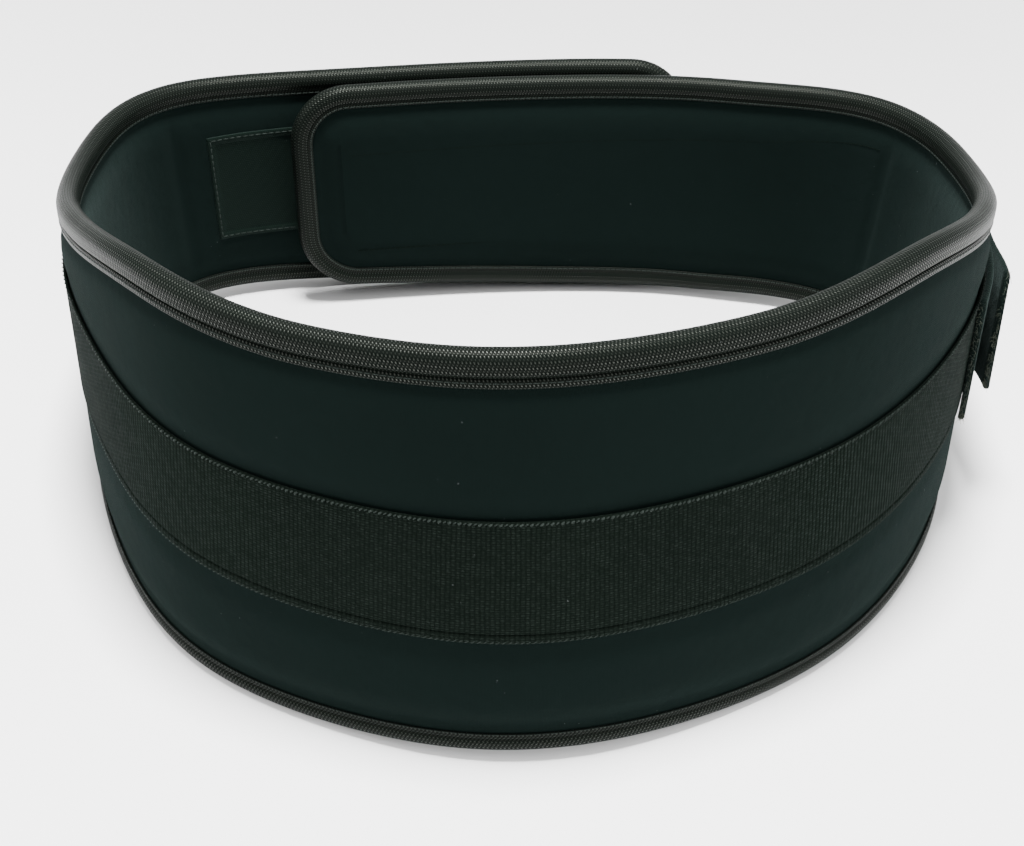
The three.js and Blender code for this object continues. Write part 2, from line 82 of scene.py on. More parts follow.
# %% Wall of the belt
LOOP = 1025.0
PLAN = np.array([
    (13.5, -148), (73.5, -126.5), (121, -93), (155.5, -43), (170.5, 14.5), (165, 76), (133, 123),
    (75.5, 141.5), (15.5, 142.5), (-44, 134.5), (-104, 121), (-155.5, 98.5), (-172.5, 44),
    (-164, -19), (-140, -72), (-102.5, -116.5), (-49, -141),
])
PLAN_SHIFT = np.array((-2.29, 3.10))
LOOP_CENTRE = np.array((14, -3.6))
HEIGHT_ROWS = {
    "along": (0, 80, 150, 210, 260, 300, 340, 400, 500, 640),
    "bottom": (2.9, 0.2, -0.4, -0.4, 5.8, 6.6, 3.9, 3.5, -0.4, 0),
    "top": (157.8, 155.5, 155.6, 139.4, 122.4, 113.1, 108.9, 104.6, 101.9, 103.5),
    "webbing": (75, 74, 75.8, 77, 72, 69.5, 65.5, 56, 50, 49.5),
}
INNER_END_RISE = 9.0
INNER_END_TAPER = 190.0
LEAN_HEIGHT = 68.0
LEAN_SLOPE = 0.147
LAYER_STEP = 14.4
STEP_START, STEP_END = 297.0, 415.0
OUTER_END, INNER_END = -593.0, 610.0
CORNER = 26.0
CURVE_SAMPLES = 4001
TINY = 1e-9


def plan_point(along):
    """place on the smooth closed curve that goes through all the places of the plan"""
    count = len(PLAN)
    away = (2 * np.pi * np.asarray(along, float)[..., None] / LOOP - 2 * np.pi * np.arange(count) / count) / 2
    spread = np.sin(away)
    safe = np.where(np.abs(spread) < TINY, 1, spread)
    weight = np.where(np.abs(spread) < TINY, 1, np.sin(count * away) / (count * safe))
    return weight @ PLAN


def run_along(line):
    """length from a line's first point to each of its points, by the first two of their measures"""
    hops = np.hypot(*np.diff(line[:, :2], axis=0).T)
    return np.concatenate([[0], np.cumsum(hops)])


SAMPLES = np.linspace(0, LOOP, CURVE_SAMPLES)
LENGTHS = run_along(plan_point(SAMPLES))


def even_point(along):
    """place on the curve at a length measured along it, with the whole curve scaled to the loop"""
    wanted = (np.asarray(along, float) / LOOP % 1) * LENGTHS[-1]
    return plan_point(np.interp(wanted, LENGTHS, SAMPLES)) * (LOOP / LENGTHS[-1])


def smooth(value, low, high):
    """0 below low, 1 above high, and a soft slope between"""
    part = np.clip((np.asarray(value, float) - low) / (high - low), 0, 1)
    return part * part * (3 - 2 * part)


def height_at(column, along):
    """height of an edge or of the webbing at a place along the belt, smoothly between the rows"""
    rows = np.array(HEIGHT_ROWS["along"], float)
    values = np.array(HEIGHT_ROWS[column], float)
    slopes = np.zeros(len(rows))
    slopes[1:-1] = (values[2:] - values[:-2]) / (rows[2:] - rows[:-2])
    far = np.clip(np.abs(along), 0, rows[-1] - 0.01)
    index = np.searchsorted(rows, far, side="right") - 1
    span = rows[index + 1] - rows[index]
    part = (far - rows[index]) / span
    left = (1 + 2 * part) * (1 - part) ** 2 * values[index] + part * (1 - part) ** 2 * span * slopes[index]
    right = part ** 2 * (3 - 2 * part) * values[index + 1]
    height = left + right + part ** 2 * (part - 1) * span * slopes[index + 1]
    if column == "bottom":
        height = height + INNER_END_RISE * np.clip(1 - (INNER_END - along) / INNER_END_TAPER, 0, 1)
    return height


def on_wall(flat, stepped=True):
    """flat points (along, height, offset) in mm, sent to the room; stepped ones pass under the lap"""
    flat = np.asarray(flat, float)
    along, height, offset = flat[:, 0], flat[:, 1], flat[:, 2]
    tangent = even_point(along + 1) - even_point(along - 1)
    tangent /= np.hypot(tangent[:, 0], tangent[:, 1])[:, None]
    out = np.stack([tangent[:, 1], -tangent[:, 0]], 1)
    foot = even_point(along)
    around = np.arctan2(foot[:, 0] - LOOP_CENTRE[0], LOOP_CENTRE[1] - foot[:, 1])
    lean = -LEAN_SLOPE * np.cos(around)
    if stepped:
        foot = foot - out * (LAYER_STEP * smooth(along, STEP_START, STEP_END))[:, None]
    tilt = np.hypot(1, lean)
    sideways = lean * (height - LEAN_HEIGHT) + offset / tilt
    place = foot + out * sideways[:, None] + PLAN_SHIFT
    return np.column_stack([place, height - offset * lean / tilt]) * MM


print("loop length", round(float(LENGTHS[-1]), 1), "mm")

# %% [markdown]
# Every cloth piece starts as a flat grid primitive whose rows and columns are then laid where the
# pattern needs them. The flat lengths are kept as a UV map in metres, so that a weave drawn with
# it has the same size everywhere and turns with the cloth. Rows that meet are merged.

# %% Helpers for flat pieces
ROW_MERGE = 1e-6


def close_mesh(piece, merge):
    """merge points that meet, turn the faces outwards and shade them smooth"""
    bpy.context.view_layer.objects.active = piece
    piece.select_set(True)
    bpy.ops.object.mode_set(mode="EDIT")
    bpy.ops.mesh.select_all(action="SELECT")
    if merge:
        bpy.ops.mesh.remove_doubles(threshold=merge)
    bpy.ops.mesh.normals_make_consistent(inside=False)
    bpy.ops.object.mode_set(mode="OBJECT")
    bpy.ops.object.shade_smooth()
    piece.select_set(False)
    return piece


def grid_piece(name, flat, stepped=True, uv=None):
    """a grid primitive whose points take the places of a table of flat points"""
    rows, columns = flat.shape[:2]
    bpy.ops.mesh.primitive_grid_add(x_subdivisions=columns - 1, y_subdivisions=rows - 1, size=1)
    piece = bpy.context.object
    piece.name = name
    piece.data.name = name
    mesh = piece.data
    order = np.empty(rows * columns * 3)
    mesh.vertices.foreach_get("co", order)
    order = order.reshape(-1, 3)
    column = np.rint((order[:, 0] + 0.5) * (columns - 1)).astype(int)
    row = np.rint((order[:, 1] + 0.5) * (rows - 1)).astype(int)
    placed = on_wall(flat.reshape(-1, 3), stepped).reshape(rows, columns, 3)[row, column]
    mesh.vertices.foreach_set("co", placed.ravel())
    cloth = flat[..., :2] * MM if uv is None else uv
    corners = np.empty(len(mesh.loops), dtype=np.int32)
    mesh.loops.foreach_get("vertex_index", corners)
    mesh.uv_layers[0].name = "cloth"
    mesh.uv_layers[0].data.foreach_set("uv", cloth[row, column][corners].ravel())
    return close_mesh(piece, ROW_MERGE)


def mesh_piece(name, points, faces):
    """a piece from its own points and faces"""
    data = bpy.data.meshes.new(name)
    data.from_pydata(points.tolist(), [], faces)
    piece = bpy.data.objects.new(name, data)
    bpy.context.scene.collection.objects.link(piece)
    return close_mesh(piece, None)


def join(name, pieces):
    for piece in pieces:
        piece.select_set(True)
    bpy.context.view_layer.objects.active = pieces[0]
    bpy.ops.object.join()
    pieces[0].name = name
    pieces[0].data.name = name
    pieces[0].select_set(False)
    return pieces[0]


def dress(piece, material, node):
    piece.data.materials.clear()
    piece.data.materials.append(material)
    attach(piece, "root")
    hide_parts(node)
    print(piece.name, len(piece.data.polygons), "faces")


# %% [markdown]
# The outline of the flat belt is a list of places along it, each with how far the corner's arc
# has dropped there and which way the edge looks. Panel, binding and seams all follow it.

# %% Outline of the belt
END_BLEND = 60.0


def outline_rows(spacing, corner_steps):
    """rows of along, fall and the edge's direction, from the outer end to the inner one"""
    rows = []
    for end, inward in ((OUTER_END, 1), (INNER_END, -1)):
        arc = []
        for step in range(corner_steps + 1):
            angle = step / corner_steps * math.pi / 2
            arc.append((end + inward * CORNER * (1 - math.cos(angle)), CORNER * (1 - math.sin(angle)),
                        inward * math.cos(angle), math.sin(angle)))
        rows.append(arc)
    start, stop = OUTER_END + CORNER, INNER_END - CORNER
    count = int(round((stop - start) / spacing))
    middle = [(along, 0, 0, 1) for along in np.linspace(start, stop, count + 1)[1:-1]]
    return np.array(rows[0] + middle + rows[1][::-1])


def edge_points(rows, upper, inset, offset):
    along = rows[:, 0] + rows[:, 2] * inset
    fall = rows[:, 1] + rows[:, 3] * inset
    edge, inwards = ("top", -1) if upper else ("bottom", 1)
    height = height_at(edge, rows[:, 0]) + inwards * fall
    return np.column_stack([along, height, offset * np.ones(len(rows))])


def both_edges(rows, top_point, low_point):
    """a closed line round the outline, its inset and offset led over from edge to edge at the ends"""
    from_end = np.minimum(rows[:, 0] - OUTER_END, INNER_END - rows[:, 0])
    own = 0.5 + 0.5 * smooth(from_end, 0, END_BLEND)
    runs = []
    for upper, near, far in ((True, top_point, low_point), (False, low_point, top_point)):
        inset, offset = (own * mine + (1 - own) * other for mine, other in zip(near, far))
        runs.append(edge_points(rows, upper, inset, offset))
    return np.concatenate([runs[0], runs[1][::-1], runs[0][:1]])


# %% [markdown]
# The panel is foam between two knitted faces. It is thin where the binding grips it, and the
# stitched webbing presses it in, so the free cloth above and below the band swells softly. Each
# face is one grid, and the two straight ends are small grids of their own, joined on.

# %% Padded panel
WALL_HALF = 3.9
GRIP_HALF = 2.85
TIP_INSET = 1.45
BINDING_WIDTH = 12.0
WEBBING_WIDTH = 48.0
PANEL_SWELL = 1.0
GRIP_RAMP = 6.0
SWELL_RAMP = 12.0
BAND_RAMP = 11.0
CLEAR_OF_BAND = 20.0
FIELD_INSET = 40.0
FIELD_STEPS = 38
PAD_SEAMS = (-362.0, 332.0)
PAD_SEAM_DEPTH = 1.4
PAD_SEAM_SPREAD = 2.4
OUTER_WAVES = 0.7
INNER_WAVES = 2.1
CORNER_MERGE = 2e-6
END_MERGE = 6e-4
INSETS = np.array([TIP_INSET, 1.6, 2.0, 2.7, 4.2, 7, 11, 12.5, 14, 16, 18.5, 21.5])
panel_rows = outline_rows(spacing=3.0, corner_steps=12)


def panel_half(inset, from_band):
    """half the panel's thickness, by the distance in from the edge and that from the webbing"""
    from_tip = np.clip(GRIP_HALF - (inset - TIP_INSET), 0, GRIP_HALF)
    tip = np.sqrt(np.clip(GRIP_HALF ** 2 - from_tip ** 2, 0, None))
    full = tip + (WALL_HALF - GRIP_HALF) * smooth(inset, BINDING_WIDTH - 1, BINDING_WIDTH + GRIP_RAMP)
    swell = smooth(inset, BINDING_WIDTH, BINDING_WIDTH + SWELL_RAMP) * smooth(from_band, 0, BAND_RAMP)
    return full + PANEL_SWELL * swell


def soft_waves(along, height, phase):
    """the slight unevenness of foam and cloth, a slow wave and a quick one, in mm"""
    slow = np.sin(along / 41 + phase) * np.cos(height / 37 + along / 90)
    quick = np.sin(along / 13.7 + 2 * phase) * np.sin(height / 19 + phase + along / 55)
    return 0.16 * slow + 0.05 * quick


def end_seams(along):
    """the soft creases that the two end seams of the lumbar padding pull in the lining"""
    return PAD_SEAM_DEPTH * sum(np.exp(-((along - place) / PAD_SEAM_SPREAD) ** 2) for place in PAD_SEAMS)


def give_thickness(sheet, from_edge, side):
    """push a flat sheet out to the padding's surface, side 1 for the outer face and -1 for the inner"""
    along, height = sheet[..., 0], sheet[..., 1]
    if side > 0:
        from_band = np.clip(np.abs(height - height_at("webbing", along)) - WEBBING_WIDTH / 2, 0, None)
        pulled = soft_waves(along, height, OUTER_WAVES)
    else:
        from_band = np.full_like(from_edge, CLEAR_OF_BAND)
        pulled = soft_waves(along, height, INNER_WAVES) - end_seams(along)
    free = smooth(from_edge, BINDING_WIDTH, BINDING_WIDTH + SWELL_RAMP)
    sheet[..., 2] = side * (panel_half(from_edge, from_band) + pulled * free)
    return sheet


def panel_face(side):
    """one face of the panel between its ends, rows of points from the lower edge to the upper"""
    lower = [edge_points(panel_rows, False, inset, 0) for inset in INSETS]
    upper = [edge_points(panel_rows, True, inset, 0) for inset in INSETS[::-1]]
    low, high = lower[-1], upper[0]
    between = np.linspace(0, 1, FIELD_STEPS)[1:-1]
    field = [low + (high - low) * part for part in between]
    insets = np.concatenate([INSETS, np.full(len(between), FIELD_INSET), INSETS[::-1]])
    from_edge = insets[:, None] * np.ones(len(panel_rows))
    return give_thickness(np.array(lower + field + upper), from_edge, side)


def panel_end(side, end):
    """the part between the two corners of one end, from its edge to where the long face begins"""
    row = panel_rows[[end]]
    low = np.array([edge_points(row, False, inset, 0)[0] for inset in INSETS])
    high = np.array([edge_points(row, True, inset, 0)[0] for inset in INSETS])
    sheet = low[:, None] + (high - low)[:, None] * np.linspace(0, 1, FIELD_STEPS)[None, :, None]
    return give_thickness(sheet, INSETS[:, None] * np.ones(FIELD_STEPS), side)


panel_parts = [grid_piece("belt_panel", np.concatenate([panel_face(1), panel_face(-1)[::-1]]))]
for end in (0, -1):
    cap = grid_piece("belt_panel_end", np.concatenate([panel_end(1, end)[::-1], panel_end(-1, end)]))
    panel_parts.append(cap)
panel = join("belt_panel", panel_parts)
panel.select_set(True)
bpy.ops.object.mode_set(mode="EDIT")
bpy.ops.mesh.select_all(action="SELECT")
bpy.ops.mesh.remove_doubles(threshold=CORNER_MERGE)
bpy.ops.mesh.select_all(action="DESELECT")
bpy.ops.mesh.select_non_manifold()
bpy.ops.mesh.remove_doubles(threshold=END_MERGE)
bpy.ops.mesh.select_all(action="SELECT")
bpy.ops.mesh.normals_make_consistent(inside=False)
bpy.ops.mesh.select_all(action="DESELECT")
bpy.ops.mesh.select_non_manifold()
bpy.ops.object.mode_set(mode="OBJECT")
open_corners = sum(corner.select for corner in panel.data.vertices)
print("panel faces", len(panel.data.polygons), "open corners", open_corners)
bpy.ops.object.shade_smooth()
panel.select_set(False)

# %% [markdown]
# The binding is a tape folded over the cut edge and sewn down through both flanges. The fold
# bulges into a round bead. On the outer face of the upper edge the flange is wide and the seam
# pulls a sharp groove, elsewhere it is narrower and slopes softly into the panel. The section is
# drawn once for each edge, from flange to flange, and carried round the whole outline.

# %% Edge binding
BEAD = 4.2
TAPE = 1.0
LIP_HEIGHT = 0.35
GROOVE_INSET = 8.3
GROOVE_SPREAD = 0.5
BEAD_STEPS = 8
GROOVED_INSETS = (
    11.2, 10.4, 9.8, 9.3, 8.95, 8.7, 8.5, GROOVE_INSET, 8.1, 7.9, 7.65, 7.3, 6.8, 6.2, 5.5, 4.9,
)
TOP_OUTER = {"width": BINDING_WIDTH, "groove": 1.2, "step": 0.25, "slope": 0.1}
LOW_OUTER = {"width": 8.6, "groove": 0.15, "step": 0.6, "slope": 3.0}
INNER = {"width": 9.4, "groove": 0.15, "step": 0.6, "slope": 3.0}


def tape_half(face):
    """half the section, as (inset, offset), from the flange's lip over the groove to the fold"""
    spread = (face["width"] - BEAD) / (BINDING_WIDTH - BEAD)
    lip = BEAD - face["step"]
    half = [
        (face["width"], GRIP_HALF + LIP_HEIGHT),
        (face["width"], lip - LIP_HEIGHT),
        (face["width"] - 0.25, lip - 0.05),
    ]
    for inset in GROOVED_INSETS:
        pull = math.exp(-((inset - GROOVE_INSET) / GROOVE_SPREAD) ** 2)
        fall = face["step"] * float(smooth(inset, GROOVE_INSET - face["slope"], GROOVE_INSET + 0.1))
        half.append((BEAD + (inset - BEAD) * spread, BEAD - face["groove"] * pull - fall))
    for step in range(BEAD_STEPS + 1):
        angle = step / BEAD_STEPS * math.pi / 2
        half.append((BEAD * (1 - math.sin(angle)), BEAD * math.cos(angle)))
    return half


def tape_section(outer_face, inner_face):
    """the whole section: outer flange, fold, inner flange, and back along the tape's inside"""
    inner = [(inset, -offset) for inset, offset in tape_half(inner_face)[::-1][1:]]
    within = BEAD - TAPE
    lining = [
        (inner_face["width"], -within), (BEAD, -within), (TAPE + 0.25, 0.0), (BEAD, within),
        (outer_face["width"], within),
    ]
    return tape_half(outer_face) + inner + lining


binding_rows = outline_rows(spacing=2.6, corner_steps=16)
top_section = tape_section(TOP_OUTER, INNER)
low_section = tape_section(LOW_OUTER, INNER)
rings = []
for top_point, low_point in zip(top_section, low_section):
    rings.append(both_edges(binding_rows, top_point, low_point))
rings.append(rings[0])
middle_line = np.concatenate([
    edge_points(binding_rows, True, BEAD, 0),
    edge_points(binding_rows, False, BEAD, 0)[::-1],
])
run = run_along(middle_line)
run = np.append(run, run[-1] + abs(middle_line[0, 1] - middle_line[-1, 1]))
around = run_along(np.array(top_section + top_section[:1]))
tape_uv = np.stack(np.broadcast_arrays(run[None, :], around[:, None]), -1) * MM
binding = grid_piece("binding_tape", np.array(rings), uv=tape_uv)
print("binding runs", round(float(run[-1])), "mm round the belt")

# %% [markdown]
# The leaning wall would push the folded lower edge up to a millimetre into the floor. Its lowest
# points are lifted to floor height, as the real tape flattens under the belt's weight.

# %% Binding on the floor
tape_points = np.empty(len(binding.data.vertices) * 3)
binding.data.vertices.foreach_get("co", tape_points)
tape_points = tape_points.reshape(-1, 3)
print("lowest point before", round(float(tape_points[:, 2].min()) / MM, 2), "mm")
tape_points[:, 2] = np.maximum(tape_points[:, 2], 0)
binding.data.vertices.foreach_set("co", tape_points.ravel())

# %% [markdown]
# Webbing, strap and keeper are all woven bands. Each is one helper: a path in the wall's own
# measures, and a section with rounded selvedges that is carried along it.

# %% Woven bands
CREASE_REACH = 1.2
CREASE_SPREAD = 0.35
CREASE_STEPS = (-0.9, -0.5, -0.2, 0, 0.2, 0.5, 0.9)


def band_section(width, thick, edge, columns, crease):
    """(across, lift) round a band; crease is the place and depth of a furrow in its outer face"""
    half = width / 2
    top = [(part * (half - edge), thick) for part in np.linspace(-1, 1, columns)]
    if crease is not None:
        place, depth = crease
        top = [point for point in top if abs(point[0] - place) > CREASE_REACH]
        for step in CREASE_STEPS:
            top.append((place + step, thick - depth * math.exp(-(step / CREASE_SPREAD) ** 2)))
        top.sort()
    side = half - edge * 0.3
    section = [(-side, thick * 0.15), (-half, thick * 0.5), (-side, thick * 0.88)]
    section += top
    section += [(side, thick * 0.88), (half, thick * 0.5), (side, thick * 0.15)]
    section += [(part * (half - edge), 0.0) for part in np.linspace(1, -1, max(columns // 2, 2))]
    return section


def straight(along, inner, outer):
    """path rows of a straight run: its places along and the offsets of its two faces"""
    return np.column_stack(np.broadcast_arrays(along, inner, along, outer))


def bend_round(place, offset, angles, inner, outer):
    """path rows of a bend round a bar: two radii about one centre"""
    return np.column_stack([place + inner * np.cos(angles), offset + inner * np.sin(angles),
                            place + outer * np.cos(angles), offset + outer * np.sin(angles)])


def band_piece(name, path, width, thick, edge, columns, stepped=True, lean=0.0, crease=None):
    """path rows: along and offset of the band's two faces, then the height of its middle"""
    section = band_section(width, thick, edge, columns, crease)
    rings = []
    for across, lift in section:
        share = lift / thick
        along = path[:, 0] + (path[:, 2] - path[:, 0]) * share
        offset = path[:, 1] + (path[:, 3] - path[:, 1]) * share
        rings.append(np.column_stack([along, path[:, 4] + across, offset + lean * across]))
    rings.append(rings[0])
    flat = np.array(rings).transpose(1, 0, 2)
    across_uv = np.array([across for across, _ in section] + [section[0][0]])
    uv = np.stack(np.broadcast_arrays(run_along(path)[:, None], across_uv[None, :]), -1) * MM
    caps = [np.repeat(flat[end].mean(axis=0)[None], flat.shape[1], 0) for end in (0, -1)]
    flat = np.concatenate([caps[0][None], flat, caps[1][None]])
    uv = np.concatenate([uv[:1], uv, uv[-1:]])
    return grid_piece(name, flat, stepped=stepped, uv=uv)


# %% [markdown]
# The webbing band runs along the middle of the outer face from one end to the other. It is 48 mm
# wide, woven as an open mesh, and its hem shows as a furrow along the lower edge.

# %% Webbing band
CLEAR = 0.35
WEBBING_THICK = 1.3
WEBBING_MARGIN = 22.0
WEBBING_STEPS = 420
HEM_WIDTH = 3.9
HEM_DEPTH = 0.6
WEBBING_NEAR = WALL_HALF + CLEAR
WEBBING_FAR = WEBBING_NEAR + WEBBING_THICK
webbing_along = np.linspace(OUTER_END + WEBBING_MARGIN, INNER_END - WEBBING_MARGIN, WEBBING_STEPS)
webbing_path = straight(webbing_along, WEBBING_NEAR, WEBBING_FAR)
webbing_path = np.column_stack([webbing_path, height_at("webbing", webbing_along)])
webbing = band_piece("webbing", webbing_path, WEBBING_WIDTH, WEBBING_THICK, edge=1.6, columns=13,
                     crease=(HEM_WIDTH - WEBBING_WIDTH / 2, HEM_DEPTH))

# %% [markdown]
# The hook-and-loop strap is sewn on at the right side, goes round the outside of the rear, turns
# back through the ring and lies on itself. Only its front end shows in the photograph: the lower
# run hugging the belt, and the free tail that stands off it, hangs a little and leans.

# %% Closing strap
STRAP_WIDTH = 54.6
STRAP_THICK = 2.4
STRAP_DROP = 1.4
STRAP_START = 204.0
STRAP_STEPS = 130
TURN_STEPS = 15
TAIL_END = 226.0
TAIL_PEEL = 34.0
TAIL_LIFT = 4.2
TAIL_LEAN = 0.03
TAIL_DROOP = 2.4
DROOP_START, DROOP_FADE, DROOP_STOP = TAIL_END + 30, 300.0, 380.0
RING_WIRE = 3.6
RING_INSIDE = 56.0
RING_REACH = 20.0
RING_PLACE = -437.0
BAR_PLAY = 0.6
STRAP_FALL = 36.0
STRAP_NEAR = WEBBING_FAR + CLEAR
STRAP_FAR = STRAP_NEAR + STRAP_THICK
BAR_OFFSET = STRAP_FAR + BAR_PLAY + RING_WIRE / 2
BAR_PLACE = LOOP + RING_PLACE - RING_REACH


def strap_height(along):
    """middle of the strap, which follows the webbing round to the far side of the loop"""
    return height_at("webbing", np.minimum(along, LOOP - along)) - STRAP_DROP


def tail_peel(along):
    """how far the tail has come loose, 1 at its end and 0 where it still holds"""
    return np.clip(1 - (along - TAIL_END) / TAIL_PEEL, 0, 1) ** 1.5


def tail_droop(along):
    """how far the upper run hangs below the lower one"""
    sag = smooth(along, TAIL_END, DROOP_START) * (1 - smooth(along, DROOP_FADE, DROOP_STOP))
    return TAIL_DROOP * sag


def upper_run_near(along):
    """offset of the upper run's inner face: on the lower run, off it at the ring and at the tail"""
    resting = STRAP_FAR + CLEAR
    at_ring = BAR_OFFSET + RING_WIRE / 2 + BAR_PLAY
    near_ring = smooth(along, BAR_PLACE - STRAP_FALL, BAR_PLACE)
    return resting + near_ring * (at_ring - resting) + tail_peel(along) * TAIL_LIFT


lower_run = np.linspace(STRAP_START, BAR_PLACE, STRAP_STEPS)
upper_run = np.linspace(BAR_PLACE, TAIL_END, STRAP_STEPS)
upper_near = upper_run_near(upper_run)
turn = np.linspace(-math.pi / 2, math.pi / 2, TURN_STEPS)[1:-1]
bend = RING_WIRE / 2 + BAR_PLAY
strap_path = np.concatenate([
    straight(lower_run, STRAP_FAR, STRAP_NEAR),
    bend_round(BAR_PLACE, BAR_OFFSET, turn, bend, bend + STRAP_THICK),
    straight(upper_run, upper_near, upper_near + STRAP_THICK),
])
strap_middle = strap_height(strap_path[:, 0])
strap_middle[-STRAP_STEPS:] -= tail_droop(upper_run)
strap_lean = np.zeros(len(strap_path))
strap_lean[-STRAP_STEPS:] = -TAIL_LEAN * tail_peel(upper_run)
strap_path = np.column_stack([strap_path, strap_middle])
strap = band_piece("hook_strap", strap_path, STRAP_WIDTH, STRAP_THICK, edge=1.0, columns=11,
                   stepped=False, lean=strap_lean)

# %% [markdown]
# The keeper is doubled webbing that wraps the ring's bar, and the ring is one rectangle of wire.
# Both sit on the outside of the left end and are hidden in the photograph, so they are plain.

# %% Keeper and ring
KEEPER_WIDTH = 44.0
KEEPER_CLOTH = 1.3
KEEPER_INSET = 4.0
TAB_STEPS = 24
TAB_BACK_STEPS = 22
PATCH_SIDE = 50.0
PATCH_PLACE = -403.0
RING_BEND = 4.0
RING_HANDLE = 2.2
KEEPER_NEAR = WEBBING_FAR + CLEAR
EYE_HOLE = RING_WIRE / 2 + CLEAR
EYE_OUTSIDE = EYE_HOLE + KEEPER_CLOTH
RING_OFFSET = KEEPER_NEAR + EYE_OUTSIDE
tab_end = PATCH_PLACE + PATCH_SIDE / 2 - KEEPER_INSET
tab_low = np.linspace(tab_end, RING_PLACE, TAB_STEPS)
eye = np.linspace(-math.pi / 2, -math.pi * 1.78, TAB_BACK_STEPS)[1:-1]
tab_high = np.linspace(RING_PLACE + EYE_OUTSIDE + 1.5, tab_end, TAB_BACK_STEPS)
keeper_path = np.concatenate([
    straight(tab_low, KEEPER_NEAR + KEEPER_CLOTH, KEEPER_NEAR),
    bend_round(RING_PLACE, RING_OFFSET, eye, EYE_HOLE, EYE_OUTSIDE),
    straight(tab_high, KEEPER_NEAR + KEEPER_CLOTH + 0.05, KEEPER_NEAR + 2 * KEEPER_CLOTH),
])
keeper_height = float(height_at("webbing", RING_PLACE))
keeper_path = np.column_stack([keeper_path, np.full(len(keeper_path), keeper_height)])
keeper = band_piece("keeper_webbing", keeper_path, KEEPER_WIDTH, KEEPER_CLOTH, edge=0.8, columns=9)

ring_high = RING_INSIDE / 2 + RING_WIRE / 2
ring_corners = on_wall([
    (RING_PLACE, keeper_height + ring_high, RING_OFFSET),
    (RING_PLACE - RING_REACH, keeper_height + ring_high, BAR_OFFSET),
    (RING_PLACE - RING_REACH, keeper_height - ring_high, BAR_OFFSET),
    (RING_PLACE, keeper_height - ring_high, RING_OFFSET),
])
bpy.ops.curve.primitive_bezier_circle_add(radius=1)
ring = bpy.context.object
ring.name = "steel_ring"
spline = ring.data.splines[0]
spline.bezier_points.add(4)
for index, point in enumerate(spline.bezier_points):
    corner = ring_corners[index // 2]
    aim = ring_corners[(index // 2 + (1 if index % 2 else 3)) % 4]
    side = aim - corner
    side /= np.linalg.norm(side)
    place = corner + side * RING_BEND * MM
    point.handle_left_type = "FREE"
    point.handle_right_type = "FREE"
    inner_handle = place - side * RING_HANDLE * MM
    outer_handle = place + side * RING_HANDLE * MM
    point.co = place
    point.handle_left = outer_handle if index % 2 == 0 else inner_handle
    point.handle_right = inner_handle if index % 2 == 0 else outer_handle
ring.data.resolution_u = 10
ring.data.bevel_depth = RING_WIRE / 2 * MM
ring.data.bevel_resolution = 6
bpy.ops.object.convert(target="MESH")
ring = bpy.context.object
bpy.ops.object.shade_smooth()
ring.select_set(False)
print("ring vertices", len(ring.data.vertices))

# %% [markdown]
# On the inner face of the left end a square of satin cloth backs the keeper's seam. It has a
# folded border that stands up, with a row of stitches in it, and nothing on its field.
# The grid's lines lie close together at the border, where the cloth bends.

# %% Inner patch
PATCH_BORDER = 3.4
PATCH_CLOTH = 0.8
PATCH_RISE = 0.6
PATCH_SEAM_INSET = 1.7
patch_near = -(WALL_HALF + CLEAR)
marks = np.concatenate([
    [0, 0.35], np.linspace(0.8, PATCH_BORDER, 5), [PATCH_BORDER + 0.5, PATCH_BORDER + 1.2],
    np.linspace(PATCH_BORDER + 2.5, PATCH_SIDE / 2, 12),
])
marks = np.concatenate([marks, PATCH_SIDE - marks[::-1][1:]])


def patch_rise(from_edge):
    """height of the patch over the lining: a round hem at its border and a nearly flat field"""
    round_part = np.clip(1 - ((from_edge - PATCH_SEAM_INSET) / 1.75) ** 2, 0, 1)
    hem = PATCH_CLOTH + PATCH_RISE * np.sqrt(round_part)
    field = PATCH_CLOTH + 0.1 * smooth(from_edge, PATCH_BORDER, 12)
    return np.where(from_edge < PATCH_BORDER, hem, field)


patch_height = float(height_at("webbing", PATCH_PLACE))
across, upward = np.meshgrid(marks, marks)
from_side = np.minimum(across, PATCH_SIDE - across)
from_edge = np.minimum(from_side, np.minimum(upward, PATCH_SIDE - upward))
face = np.stack([
    PATCH_PLACE - PATCH_SIDE / 2 + across,
    patch_height - PATCH_SIDE / 2 + upward,
    patch_near - patch_rise(from_edge) * np.where(from_edge > 0, 1, 0.4),
], -1)
back = face.copy()
back[..., 2] = patch_near
patch = grid_piece("inner_patch_cloth", np.concatenate([face, back[::-1]]))
bpy.context.view_layer.objects.active = patch
patch.select_set(True)
bpy.ops.object.mode_set(mode="EDIT")
bpy.ops.mesh.select_all(action="DESELECT")
bpy.ops.mesh.select_non_manifold()
bpy.ops.mesh.edge_face_add()
bpy.ops.mesh.select_all(action="SELECT")
bpy.ops.mesh.normals_make_consistent(inside=False)
bpy.ops.object.mode_set(mode="OBJECT")
patch.select_set(False)

# %% [markdown]
# Stitches are real threads here: one short stitch with rounded ends is modelled from a cylinder,
# and each seam is one mesh of its copies, laid along the cloth and turned to follow it.

# %% Stitches
STITCH_SIDES = 6
STITCH_ROUNDING = 0.28
STITCH_ARCH = 0.35
LINE_STEP = 4.0
HEM_HEIGHT = WEBBING_WIDTH / 2 - 0.9
SEAM_END = 24.0


